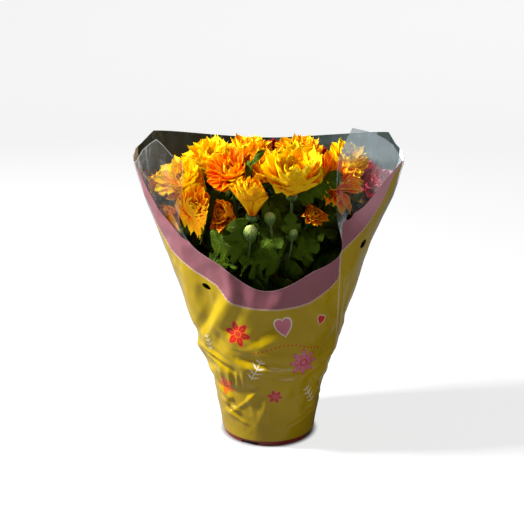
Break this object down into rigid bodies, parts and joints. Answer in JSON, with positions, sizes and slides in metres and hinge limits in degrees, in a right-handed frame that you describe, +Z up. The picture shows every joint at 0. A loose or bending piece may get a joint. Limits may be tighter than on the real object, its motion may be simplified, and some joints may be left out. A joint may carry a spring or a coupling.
{
  "type": "pot chrysanthemum",
  "caption": "Flowering chrysanthemum in a round plastic pot, inside a tapering printed film sleeve that is cut away in front of the blooms.",
  "frame": {"origin": "centre of the pot's foot, on the surface it stands on", "axes": "+Z up out of the pot; -Y is the front, where the sleeve is cut away; +X to the right seen from the front"},
  "size_m": [0.2573, 0.1513, 0.313],
  "materials": {
    "pot_plastic": "moulded, slightly shiny",
    "soil": null,
    "sleeve_film": "thin printed film, creased, clear at the top",
    "foliage": null,
    "orange_petals": null,
    "crimson_petals": null,
    "buds": null
  },
  "bodies": {
    "root": {"pot": "pot_plastic", "soil": "soil", "sleeve": "sleeve_film", "shoot_left": "foliage", "shoot_front_left": "foliage", "shoot_back_left": "foliage", "shoot_front_right": "foliage", "shoot_right": "foliage", "shoot_crimson_right": "foliage", "shoot_crimson_back": "foliage", "bloom_orange_01": "orange_petals", "bloom_orange_02": "orange_petals", "bloom_orange_03": "orange_petals", "bloom_orange_04": "orange_petals", "bloom_orange_05": "orange_petals", "bloom_orange_06": "orange_petals", "bloom_orange_07": "orange_petals", "bloom_orange_08": "orange_petals", "bloom_orange_09": "orange_petals", "bloom_orange_10": "orange_petals", "bloom_orange_11": "orange_petals", "bloom_orange_12": "orange_petals", "bloom_orange_13": "orange_petals", "bloom_orange_14": "orange_petals", "bloom_orange_15": "orange_petals", "bloom_orange_16": "orange_petals", "bloom_crimson_17": "crimson_petals", "bloom_crimson_18": "crimson_petals", "bloom_crimson_19": "crimson_petals", "bloom_crimson_20": "crimson_petals", "bud_01": "buds", "bud_02": "buds", "bud_03": "buds"}
  },
  "joints": []
}
